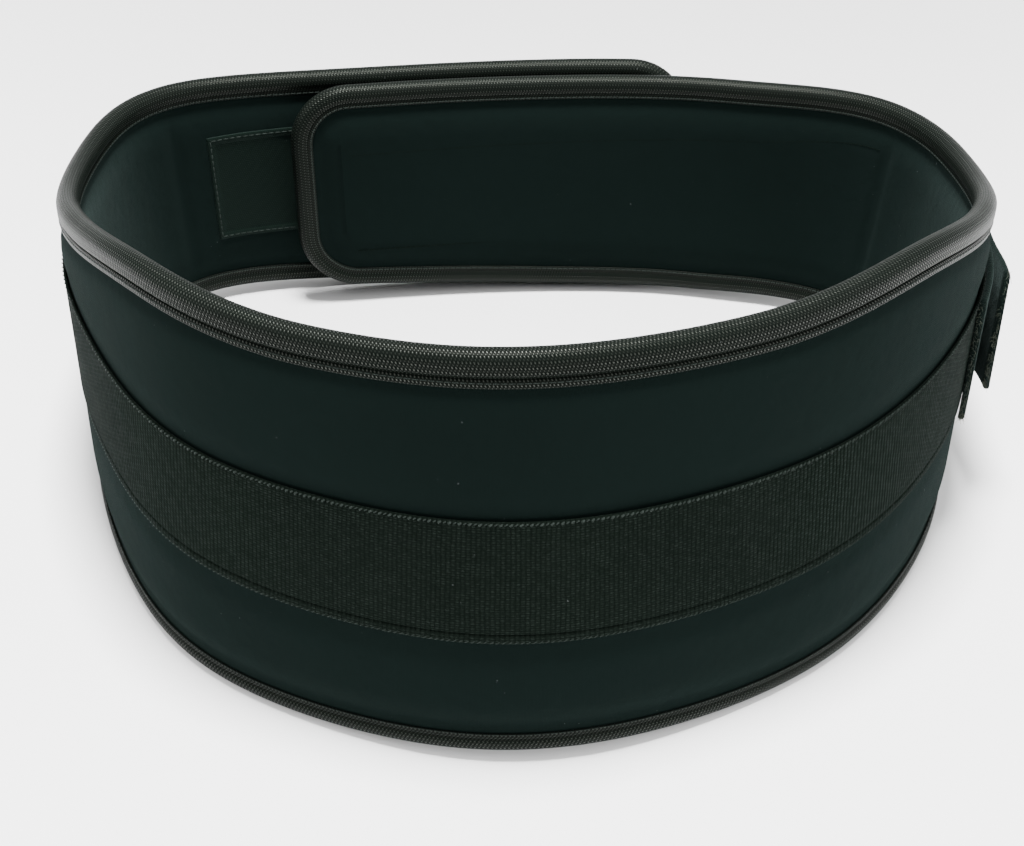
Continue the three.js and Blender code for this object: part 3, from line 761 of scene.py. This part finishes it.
def one_stitch(length, thread):
    """points and faces of a stitch along x, its ends bent down into the cloth"""
    bpy.ops.mesh.primitive_cylinder_add(vertices=STITCH_SIDES, radius=thread / 2, depth=length,
                                        rotation=(0, math.pi / 2, 0))
    stitch = bpy.context.object
    bpy.ops.object.transform_apply(location=False, rotation=True, scale=False)
    bpy.ops.object.mode_set(mode="EDIT")
    bpy.ops.mesh.select_all(action="SELECT")
    bpy.ops.mesh.bevel(offset=thread * STITCH_ROUNDING, segments=1, affect="EDGES", clamp_overlap=True)
    bpy.ops.object.mode_set(mode="OBJECT")
    data = stitch.data
    points = np.empty(len(data.vertices) * 3)
    data.vertices.foreach_get("co", points)
    faces = [tuple(face.vertices) for face in data.polygons]
    bpy.data.objects.remove(stitch)
    points = points.reshape(-1, 3)
    points[:, 2] -= STITCH_ARCH * thread * (2 * points[:, 0] / length) ** 2
    return points, faces


def seam(name, line, length, thread, gap, slant=0.0, sink=0.25, start=0.5):
    """copies of a stitch of some length, thread and gap, along a line of flat points; the sign of
    the line's offset says which face they are on, slant turns them and sink lets them in"""
    line = np.asarray(line, float)
    run = run_along(line)
    count = int(run[-1] / (length + gap))
    centres = (np.arange(count) + start) * run[-1] / count
    middle = np.column_stack([np.interp(centres, run, line[:, axis]) for axis in range(3)])
    ahead = np.column_stack([np.interp(centres + 0.5, run, line[:, axis]) for axis in range(3)])
    way = ahead[:, :2] - middle[:, :2]
    way /= np.maximum(np.hypot(way[:, 0], way[:, 1]), TINY)[:, None]
    cosine, sine = math.cos(math.radians(slant)), math.sin(math.radians(slant))
    way = np.column_stack([way[:, 0] * cosine - way[:, 1] * sine, way[:, 0] * sine + way[:, 1] * cosine])
    side = np.column_stack([-way[:, 1], way[:, 0]])
    face_sign = np.sign(middle[:, 2])
    points, faces = one_stitch(length, thread)
    size = len(points)
    flat = np.empty((count, size, 3))
    flat[..., :2] = middle[:, None, :2] + way[:, None] * points[None, :, :1]
    flat[..., :2] += side[:, None] * points[None, :, 1:2]
    flat[..., 2] = middle[:, None, 2] + face_sign[:, None] * (points[None, :, 2] + (0.5 - sink) * thread)
    all_faces = []
    for copy in range(count):
        all_faces += [tuple(corner + size * copy for corner in face) for face in faces]
    return mesh_piece(name, on_wall(flat.reshape(-1, 3)), all_faces)


def flange_line(top_inset, low_inset, side):
    """the seam's line on a flange, given how far in from the upper and from the lower edge it is"""
    top_face, low_face = (TOP_OUTER, LOW_OUTER) if side > 0 else (INNER, INNER)
    top_point = (top_inset, side * (BEAD - top_face["step"] + 0.05))
    low_point = (low_inset, side * (BEAD - low_face["step"] + 0.05))
    return both_edges(outline_rows(spacing=LINE_STEP, corner_steps=10), top_point, low_point)


def band_line(across):
    """a line along the webbing's outer face, at a distance from its middle"""
    along = np.arange(OUTER_END + SEAM_END, INNER_END - SEAM_END, LINE_STEP)
    return np.column_stack([along, height_at("webbing", along) + across, np.full(len(along), WEBBING_FAR)])


def lining_line(across):
    """where the webbing's seam shows through on the inner face, from the padding's seam to the end"""
    along = np.arange(PAD_SEAMS[1] + 4, INNER_END - SEAM_END, LINE_STEP)
    height = height_at("webbing", along) + across
    offset = -(WALL_HALF + PANEL_SWELL + soft_waves(along, height, INNER_WAVES))
    return np.column_stack([along, height, offset])


def square_line(half_side, offset):
    """a closed square round the patch's middle"""
    corners = half_side * np.array([(-1, -1), (1, -1), (1, 1), (-1, 1), (-1, -1)])
    steps = np.linspace(0, 4, 37)
    across, upward = (np.interp(steps, np.arange(5), corners[:, axis]) for axis in (0, 1))
    return np.column_stack([PATCH_PLACE + across, patch_height + upward, np.full(len(steps), offset)])


binding_seams = join("binding_stitches", [
    seam("outer_flange_seam", flange_line(9.9, 8.3, 1), 2.1, 0.42, 0.5),
    seam("inner_flange_seam", flange_line(8.6, 8.6, -1), 2.1, 0.5, 0.5),
])
webbing_seams = join("webbing_stitches", [
    seam("upper_edge_cord", band_line(HEM_HEIGHT), 1.3, 0.85, 1.9, slant=35, start=0.25),
    seam("upper_edge_turns", band_line(HEM_HEIGHT), 1.2, 0.55, 2.0, slant=35, sink=0.45, start=0.75),
    seam("lower_edge_cord", band_line(-HEM_HEIGHT), 1.5, 0.5, 0.4, slant=35, sink=0.6),
])
inner_seams = join("show_through_stitches", [
    seam("upper_show_through", lining_line(HEM_HEIGHT), 2.0, 0.4, 0.4, sink=0.5),
    seam("lower_show_through", lining_line(-HEM_HEIGHT), 2.0, 0.4, 0.4, sink=0.7),
])
patch_top = patch_near - PATCH_CLOTH - PATCH_RISE + 0.05
patch_seam = seam("patch_stitches", square_line(PATCH_SIDE / 2 - PATCH_SEAM_INSET, patch_top),
                  2.2, 0.5, 0.7, sink=0.3)
print("patch stitches", len(patch_seam.data.vertices), "corners")

# %% [markdown]
# The cut ends of the strap have frayed. Short fine fibres stand out of them in all directions,
# more of them at the lower corner of the sewn run.

# %% Loose fibres
FIBRES = 150
FIBRE_THICK = 0.13
FIBRE_LEVELS = (-0.2, 0.35, 0.7, 1.0)
chance = np.random.default_rng(11)


def fibres_at(along, offsets, low, high):
    """flat start and way of each fibre along one cut end, with most of them near its foot"""
    height = low + (high - low) * chance.random(FIBRES) ** 1.6
    offset = chance.uniform(offsets[0], offsets[1], FIBRES)
    start = np.column_stack([np.full(FIBRES, along), height, offset])
    way = np.column_stack([-chance.uniform(0.4, 2.2, FIBRES), chance.normal(-0.3, 0.9, FIBRES),
                           chance.normal(0.0, 0.7, FIBRES)])
    return start, way


def fibre_tube(root, push, bow, base):
    """points and faces of one three-sided fibre that thins and bows towards its tip"""
    side = np.cross(push, (0.3, 0.2, 1.0))
    side *= FIBRE_THICK / 2 / np.linalg.norm(side)
    rise = np.cross(push, side)
    rise *= FIBRE_THICK / 2 / np.linalg.norm(rise)
    points, faces = [], []
    for share in FIBRE_LEVELS:
        centre = root + push * share + bow * share * share
        for third in range(3):
            angle = 2 * math.pi * third / 3
            spoke = side * math.cos(angle) + rise * math.sin(angle)
            points.append(centre + spoke * (1.1 - 0.6 * share))
    for level in range(3):
        for corner in range(3):
            first = base + 3 * level + corner
            second = base + 3 * level + (corner + 1) % 3
            faces.append((first, second, second + 3, first + 3))
    faces += [(base + 2, base + 1, base), (base + 9, base + 10, base + 11)]
    return points, faces


foot = float(strap_height(STRAP_START)) - STRAP_WIDTH / 2 + 0.5
head = foot + STRAP_WIDTH - 1
tail_near = float(upper_run_near(TAIL_END))
ends = [
    fibres_at(STRAP_START, (STRAP_NEAR + 0.2, STRAP_FAR - 0.2), foot, head),
    fibres_at(TAIL_END, (tail_near + 0.4, tail_near + STRAP_THICK - 0.4), foot, head),
]
fibre_points, fibre_faces = [], []
for start, way in ends:
    for root, push in zip(start, way):
        bow = chance.normal(0, 0.25, 3)
        points, faces = fibre_tube(root, push, bow, len(fibre_points))
        fibre_points += points
        fibre_faces += faces
fibres = mesh_piece("strap_fibres", on_wall(fibre_points, False), fibre_faces)
print("fibres", len(ends) * FIBRES)

# %% [markdown]
# All of it is black cloth, and what tells the pieces apart is how each one is woven and how it
# takes the light. The helpers below draw weaves from the cloth maps, with pitches in millimetres,
# and noises from the place in the room. Each one adds nodes and returns the socket with its
# result, so that they can be put together like sums.

# %% Helpers for materials


def new_material(name):
    material = bpy.data.materials.new(name)
    material.use_nodes = True
    return material, material.node_tree, material.node_tree.nodes["Principled BSDF"]


def feed(tree, socket, value):
    if hasattr(value, "is_output"):
        tree.links.new(value, socket)
    else:
        socket.default_value = value


def maths(tree, operation, *values):
    node = tree.nodes.new("ShaderNodeMath")
    node.operation = operation
    for socket, value in zip(node.inputs, values):
        feed(tree, socket, value)
    return node.outputs[0]


def times(tree, first, second):
    return maths(tree, "MULTIPLY", first, second)


def plus(tree, first, second):
    return maths(tree, "ADD", first, second)


def in_range(tree, value, low, high, out_low=0.0, out_high=1.0):
    """a value led softly from one range to another and held at its ends"""
    node = tree.nodes.new("ShaderNodeMapRange")
    node.interpolation_type = "SMOOTHSTEP"
    for name, setting in (("From Min", low), ("From Max", high), ("To Min", out_low), ("To Max", out_high)):
        node.inputs[name].default_value = setting
    feed(tree, node.inputs["Value"], value)
    return node.outputs["Result"]


def noise(tree, size_mm, detail):
    node = tree.nodes.new("ShaderNodeTexNoise")
    node.inputs["Scale"].default_value = 1 / (size_mm * MM)
    node.inputs["Detail"].default_value = detail
    coordinates = tree.nodes.new("ShaderNodeTexCoord")
    tree.links.new(coordinates.outputs["Object"], node.inputs["Vector"])
    return node.outputs["Fac"]


def cloth_map(tree):
    node = tree.nodes.new("ShaderNodeUVMap")
    node.uv_map = "cloth"
    return node.outputs["UV"]


def split(tree, vector):
    node = tree.nodes.new("ShaderNodeSeparateXYZ")
    tree.links.new(vector, node.inputs[0])
    return node.outputs["X"], node.outputs["Y"]


def wave_angle(tree, place, pitch_mm, uneven):
    """half a turn for every pitch along the cloth, disturbed a little"""
    return plus(tree, times(tree, place, math.pi / (pitch_mm * MM)), uneven)


def thread_height(tree, own, other, low, share):
    """height of one set of threads: rounded across, and highest where it crosses over the other"""
    rounded = maths(tree, "POWER", own, 0.6)
    crown = plus(tree, low, times(tree, other, share))
    return times(tree, rounded, crown)


def plain_weave(tree, along_pitch, across_pitch, wobble):
    """height of a plain weave, from 0 in the gaps to 1 on the threads"""
    along, across = split(tree, cloth_map(tree))
    uneven = maths(tree, "SUBTRACT", noise(tree, 9, 2), 0.5)
    uneven = times(tree, uneven, wobble * math.pi * 2)
    wave_u = maths(tree, "SINE", wave_angle(tree, along, along_pitch, uneven))
    wave_v = maths(tree, "SINE", wave_angle(tree, across, across_pitch, uneven))
    size_u = maths(tree, "ABSOLUTE", wave_u)
    size_v = maths(tree, "ABSOLUTE", wave_v)
    warp = thread_height(tree, size_u, size_v, 0.45, 0.55)
    weft = thread_height(tree, size_v, size_u, 0.25, 0.45)
    on_top = in_range(tree, times(tree, wave_u, wave_v), -0.12, 0.12)
    node = tree.nodes.new("ShaderNodeMix")
    tree.links.new(on_top, node.inputs["Factor"])
    tree.links.new(weft, node.inputs["A"])
    tree.links.new(warp, node.inputs["B"])
    return node.outputs["Result"]


def rib_weave(tree, rib_pitch, row_pitch, grain, slant):
    """height of a ribbed weave: rows of grains, every second row set over, on ribs across the tape"""
    along, across = split(tree, cloth_map(tree))
    uneven = times(tree, maths(tree, "SUBTRACT", noise(tree, 6, 2), 0.5), 1.1)
    v = wave_angle(tree, across, row_pitch, uneven)
    u = wave_angle(tree, along, rib_pitch / 2, times(tree, v, slant))
    u = plus(tree, u, uneven)
    rib = maths(tree, "COSINE", u)
    grains = in_range(tree, times(tree, rib, maths(tree, "COSINE", v)), -0.15, 0.85)
    ribs = in_range(tree, rib, -0.8, 0.8)
    part = times(tree, grains, grain)
    return plus(tree, part, times(tree, ribs, 1 - grain))


def blend_colours(tree, factor, low, high):
    """a colour between two, each given as three numbers or as another node's result"""
    node = tree.nodes.new("ShaderNodeMix")
    node.data_type = "RGBA"
    feed(tree, node.inputs[0], factor)
    feed(tree, node.inputs[6], low if hasattr(low, "is_output") else (*low, 1))
    feed(tree, node.inputs[7], (*high, 1))
    return node.outputs[2]


def lint(tree):
    """a few tiny pale specks: the highest peaks of a fine noise, where a coarse one is high too"""
    fine = in_range(tree, noise(tree, 1.3, 1), 0.785, 0.81)
    coarse = in_range(tree, noise(tree, 23, 1), 0.5, 0.66)
    return times(tree, fine, coarse)


def bump(tree, height, depth_mm):
    node = tree.nodes.new("ShaderNodeBump")
    node.inputs["Strength"].default_value = BUMP_STRENGTH
    node.inputs["Distance"].default_value = depth_mm * MM
    tree.links.new(height, node.inputs["Height"])
    return node


# %% [markdown]
# Every cloth is made by one function from a dark and a light tone and the height of its weave.
# The height blends the tones, drives the bump and, raised to a power, gives the shine, so that
# only the tops of the threads glint. Sheen is the pale veil on a cloth seen at a flat angle.

# %% Cloth
BUMP_STRENGTH = 1.25
SHEEN_ROUGHNESS = 0.45
LINT_COLOUR = (0.05, 0.055, 0.055)
PEAK_POWER = 2.5
LEAST_GLOSS = 0.03


def cloth_material(name, dark, light, weave, bump_mm, roughness, sheen, tint, gloss,
                   fuzz=None, fuzz_mm=0.0, dust=True):
    material, tree, shader = new_material(name)
    height = weave(tree)
    large = noise(tree, 60, 3)
    tone = plus(tree, times(tree, height, 0.75), times(tree, large, 0.3))
    colour = blend_colours(tree, tone, dark, light)
    if dust:
        colour = blend_colours(tree, lint(tree), colour, LINT_COLOUR)
    tree.links.new(colour, shader.inputs["Base Color"])
    rough = plus(tree, roughness - 0.04, times(tree, large, 0.08))
    tree.links.new(rough, shader.inputs["Roughness"])
    peaks = times(tree, maths(tree, "POWER", height, PEAK_POWER), gloss)
    shine = plus(tree, peaks, gloss * LEAST_GLOSS)
    tree.links.new(shine, shader.inputs["Specular IOR Level"])
    shader.inputs["Specular Tint"].default_value = (*tint, 1)
    shader.inputs["Sheen Weight"].default_value = sheen
    shader.inputs["Sheen Roughness"].default_value = SHEEN_ROUGHNESS
    shader.inputs["Sheen Tint"].default_value = (*tint, 1)
    weave_bump = bump(tree, height, bump_mm)
    if fuzz:
        fuzz_bump = bump(tree, fuzz(tree), fuzz_mm)
        tree.links.new(fuzz_bump.outputs[0], weave_bump.inputs["Normal"])
    tree.links.new(weave_bump.outputs[0], shader.inputs["Normal"])
    return material


# %% [markdown]
# The weaves differ in pitch and pattern: a fine knit on the panel, an open mesh on the webbing,
# ribs with grains on the tape, a pile on the strap. Their tones are very dark, because the scene
# is lit brightly for its white floor.

# %% Materials


def knit(tree):
    return plain_weave(tree, 0.42, 0.36, wobble=0.3)


def mottled(tree):
    return noise(tree, 5.5, 4)


def mesh_weave(tree):
    uneven = in_range(tree, noise(tree, 2.6, 2), 0.3, 0.7, 0.55, 1.0)
    return times(tree, plain_weave(tree, 1.55, 0.95, wobble=0.25), uneven)


def tape_weave(tree):
    return rib_weave(tree, 1.3, 0.9, grain=0.7, slant=0.55)


def fine_fuzz(tree):
    return noise(tree, 0.35, 3)


def pile(tree):
    return noise(tree, 0.9, 4)


def satin_ribs(tree):
    return plain_weave(tree, 0.5, 0.9, wobble=0.1)


def thread_twist(tree):
    return noise(tree, 0.3, 2)


GREEN_TINT = (0.75, 1.0, 0.95)
OLIVE_TINT = (0.95, 1.0, 0.88)
panel_cloth = cloth_material(
    "panel_cloth", dark=(0.0021, 0.0043, 0.0037), light=(0.0044, 0.0080, 0.0072), weave=knit,
    bump_mm=0.05, roughness=0.9, sheen=0.022, tint=GREEN_TINT, gloss=0.03, fuzz=mottled, fuzz_mm=0.25)
webbing_cloth = cloth_material(
    "webbing", dark=(0.0014, 0.0025, 0.0019), light=(0.0078, 0.0115, 0.0088), weave=mesh_weave,
    bump_mm=0.4, roughness=0.75, sheen=0.012, tint=GREEN_TINT, gloss=0.04, fuzz=fine_fuzz, fuzz_mm=0.05)
tape_cloth = cloth_material(
    "binding_tape", dark=(0.0024, 0.0035, 0.0028), light=(0.0048, 0.0066, 0.0053), weave=tape_weave,
    bump_mm=0.08, roughness=0.4, sheen=0.0, tint=OLIVE_TINT, gloss=0.34, fuzz=fine_fuzz, fuzz_mm=0.015)
strap_cloth = cloth_material(
    "strap_pile", dark=(0.0014, 0.0032, 0.0029), light=(0.0056, 0.0090, 0.0074), weave=pile,
    bump_mm=0.5, roughness=0.9, sheen=0.05, tint=GREEN_TINT, gloss=0.02, fuzz=fine_fuzz, fuzz_mm=0.15)
patch_cloth = cloth_material(
    "patch_cloth", dark=(0.0018, 0.0042, 0.0032), light=(0.0044, 0.0084, 0.0063), weave=satin_ribs,
    bump_mm=0.08, roughness=0.55, sheen=0.03, tint=GREEN_TINT, gloss=0.1, fuzz=fine_fuzz, fuzz_mm=0.03)
# the fibres' pale tone is partly their own colour and partly painted sheen, the light that the frayed ends
# catch
fibre_cloth = cloth_material(
    "strap_fibre", dark=(0.0300, 0.0360, 0.0280), light=(0.0900, 0.1000, 0.0760), weave=fine_fuzz,
    bump_mm=0.02, roughness=0.7, sheen=0.05, tint=OLIVE_TINT, gloss=0.1, dust=False)
thread_cloth = cloth_material(
    "thread", dark=(0.0040, 0.0062, 0.0052), light=(0.0210, 0.0255, 0.0220), weave=thread_twist,
    bump_mm=0.1, roughness=0.5, sheen=0.05, tint=GREEN_TINT, gloss=0.25, dust=False)

steel, tree, shader = new_material("ring_steel")
shader.inputs["Base Color"].default_value = (0.03, 0.03, 0.032, 1)
shader.inputs["Metallic"].default_value = 1.0
tree.links.new(in_range(tree, noise(tree, 6, 3), 0.3, 0.7, 0.28, 0.42), shader.inputs["Roughness"])

# %% [markdown]
# Now every piece gets its cloth. The same line gives its material and the CAD node it stands for,
# which is then hidden; every piece rides on the root body.

# %% Dressing the pieces
dress(panel, panel_cloth, "padded_panel")
dress(binding, tape_cloth, "edge_binding")
dress(binding_seams, thread_cloth, "edge_binding")
dress(webbing, webbing_cloth, "webbing_band")
dress(webbing_seams, thread_cloth, "webbing_band")
dress(inner_seams, webbing_cloth, "padded_panel")
dress(strap, strap_cloth, "closing_strap")
dress(fibres, fibre_cloth, "closing_strap")
dress(keeper, webbing_cloth, "ring_keeper")
dress(ring, steel, "buckle_ring")
dress(patch, patch_cloth, "inner_patch")
dress(patch_seam, thread_cloth, "inner_patch")

# %% [markdown]
# The belt stands on a plain white floor, under one soft light from above, a fainter one from each
# side and even light from all round. The floor gets darker towards the rear, as in the photo.

# %% Floor and light
FLOOR_SIZE = 12.0
# floor colour at the front and at the rear: the darker rear is painted shade, for the light falling off
FLOOR_FRONT, FLOOR_REAR = 0.93, 0.55
SIDE_PAINTED_LIGHT = 0.12
WORLD_STRENGTH = 1.25
bpy.ops.mesh.primitive_plane_add(size=FLOOR_SIZE, location=(0, 0, 0))
floor = bpy.context.object
floor.name = "floor"
floor_paint, tree, shader = new_material("floor_paper")
floor_place = tree.nodes.new("ShaderNodeTexCoord")
floor_across, floor_depth = split(tree, floor_place.outputs["Object"])
# painted shade and painted light: the floor's colour darkens towards the rear and is lifted towards the
# sides, for the fall of the light
tone = in_range(tree, floor_depth, -0.15, 0.5, FLOOR_FRONT, FLOOR_REAR)
from_middle = maths(tree, "ABSOLUTE", maths(tree, "SUBTRACT", floor_across, 0.02))
lift = in_range(tree, from_middle, 0.1, 0.5, 0.0, SIDE_PAINTED_LIGHT)
painted_floor_shade = maths(tree, "MINIMUM", plus(tree, tone, lift), FLOOR_FRONT)
floor_colour = tree.nodes.new("ShaderNodeCombineColor")
for channel in ("Red", "Green", "Blue"):
    tree.links.new(painted_floor_shade, floor_colour.inputs[channel])
tree.links.new(floor_colour.outputs[0], shader.inputs["Base Color"])
shader.inputs["Roughness"].default_value = 0.9
shader.inputs["Specular IOR Level"].default_value = 0.1
floor.data.materials.append(floor_paint)
floor.select_set(False)


def soft_light(name, size, place, aim, power):
    """a round area light in metres and watts, turned towards the place it is aimed at"""
    data = bpy.data.lights.new(name, "AREA")
    data.shape = "DISK"
    data.size = size
    data.energy = power
    lamp = bpy.data.objects.new(name, data)
    bpy.context.scene.collection.objects.link(lamp)
    lamp.location = place
    way = np.array(aim, float) - np.array(place, float)
    pitch = math.atan2(math.hypot(way[0], way[1]), -way[2])
    lamp.rotation_euler = (pitch, 0, math.atan2(way[1], way[0]) - math.pi / 2)
    return lamp


overhead = soft_light("overhead_light", 0.42, (0.0, 0.12, 1.9), (0, 0, 0), power=160)
left = soft_light("left_light", 1.2, (-1.7, -0.3, 0.9), (0, 0, 0.05), power=14)
right = soft_light("right_light", 1.2, (1.7, -0.3, 0.9), (0, 0, 0.05), power=17)
world = bpy.data.worlds.new("studio")
bpy.context.scene.world = world
world.use_nodes = True
background = world.node_tree.nodes["Background"]
background.inputs["Color"].default_value = (1, 1, 1, 1)
background.inputs["Strength"].default_value = WORLD_STRENGTH
print("floor", floor.name, "and", len(bpy.data.lights), "lights")
